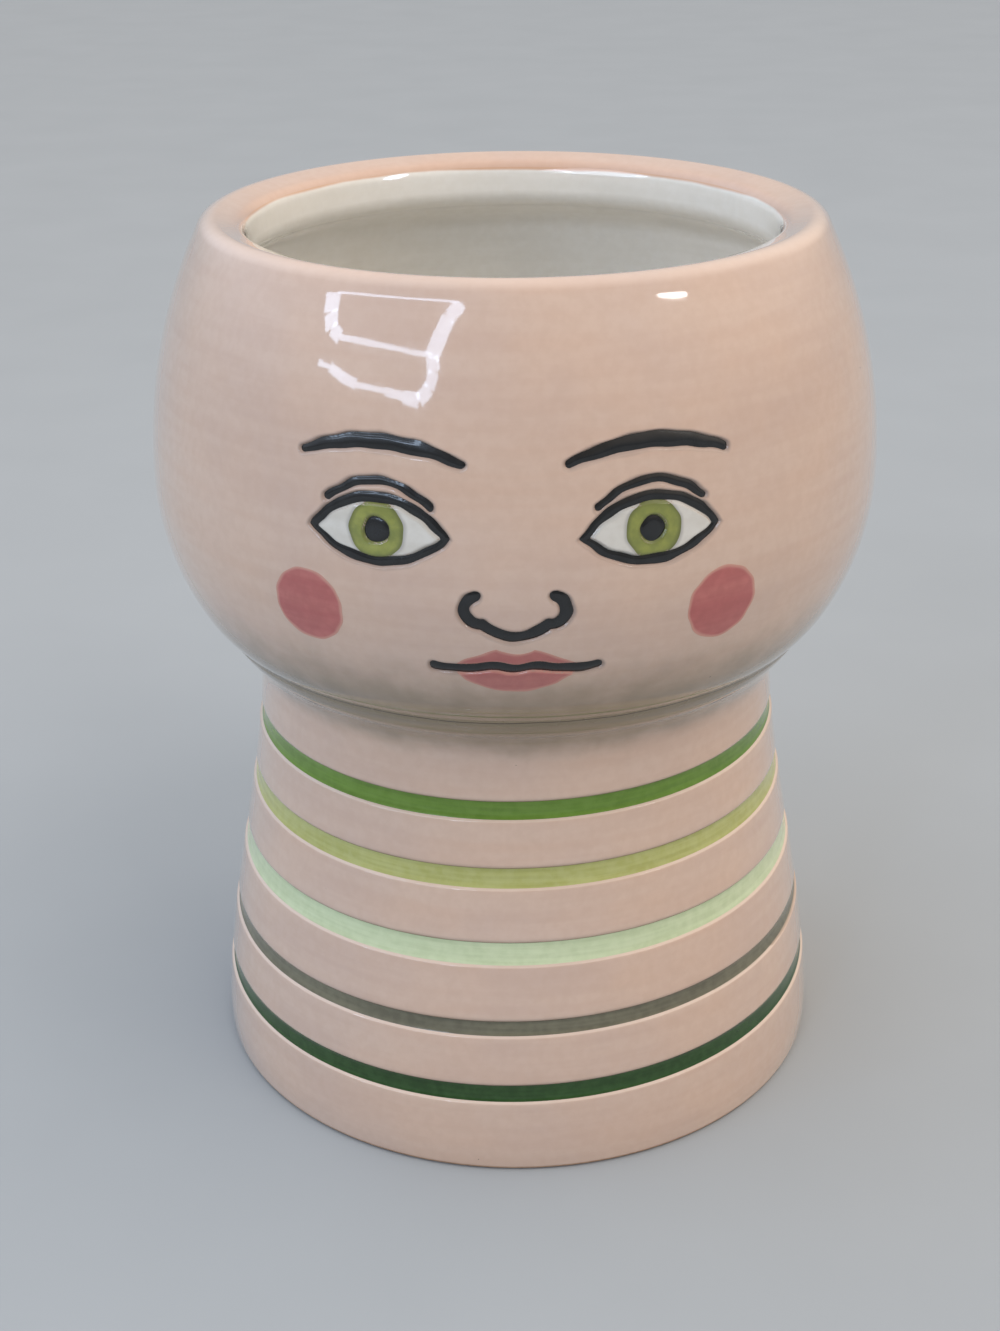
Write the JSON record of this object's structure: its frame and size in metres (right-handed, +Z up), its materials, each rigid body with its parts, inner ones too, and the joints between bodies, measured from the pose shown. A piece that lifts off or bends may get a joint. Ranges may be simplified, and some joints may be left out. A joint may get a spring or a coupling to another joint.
{
  "type": "face vase",
  "caption": "Round bowl shaped as a head with a thick lip turned inwards and a calm line face, on a flared base with grooved stripes; holds flowers or a plant.",
  "frame": {"origin": "centre of the foot, on the surface that the vase stands on", "axes": "+Z up through the mouth, the face looks along -Y, and the face's own left is +X"},
  "size_m": [0.132, 0.132, 0.1635],
  "materials": {
    "head_glaze": "glossy peach glaze over earthenware",
    "base_glaze": "glossy peach glaze over earthenware, unglazed under the foot",
    "slip": "fired slip, glazed over",
    "white_glaze": "glossy white glaze",
    "line_glaze": "black glaze pooled in the lines, glossy",
    "eye_white_glaze": "cream underglaze, glossy",
    "iris_glaze": "yellow-green underglaze, glossy",
    "cheek_glaze": "brushed coral underglaze, glossy",
    "lip_glaze": "muted rose underglaze, glossy",
    "green_glaze": "leaf green glaze, glossy",
    "olive_glaze": "yellow olive glaze, glossy",
    "mint_glaze": "pale mint glaze, glossy",
    "grey_green_glaze": "grey green glaze, glossy",
    "dark_green_glaze": "dark green glaze, glossy"
  },
  "bodies": {
    "root": {"head_bowl": "head_glaze", "base_skirt": "base_glaze", "joint_slip": "slip", "inner_glaze": "white_glaze", "stripe_green": "green_glaze", "stripe_olive": "olive_glaze", "stripe_mint": "mint_glaze", "stripe_grey_green": "grey_green_glaze", "stripe_dark_green": "dark_green_glaze", "brow_left": "line_glaze", "brow_right": "line_glaze", "lid_crease_left": "line_glaze", "lid_crease_right": "line_glaze", "eye_outline_left": "line_glaze", "eye_outline_right": "line_glaze", "eye_white_left": "eye_white_glaze", "eye_white_right": "eye_white_glaze", "iris_left": "iris_glaze", "iris_right": "iris_glaze", "pupil_left": "line_glaze", "pupil_right": "line_glaze", "cheek_left": "cheek_glaze", "cheek_right": "cheek_glaze", "nose_line": "line_glaze", "mouth_line": "line_glaze", "upper_lip": "lip_glaze", "lower_lip": "lip_glaze"}
  },
  "joints": []
}
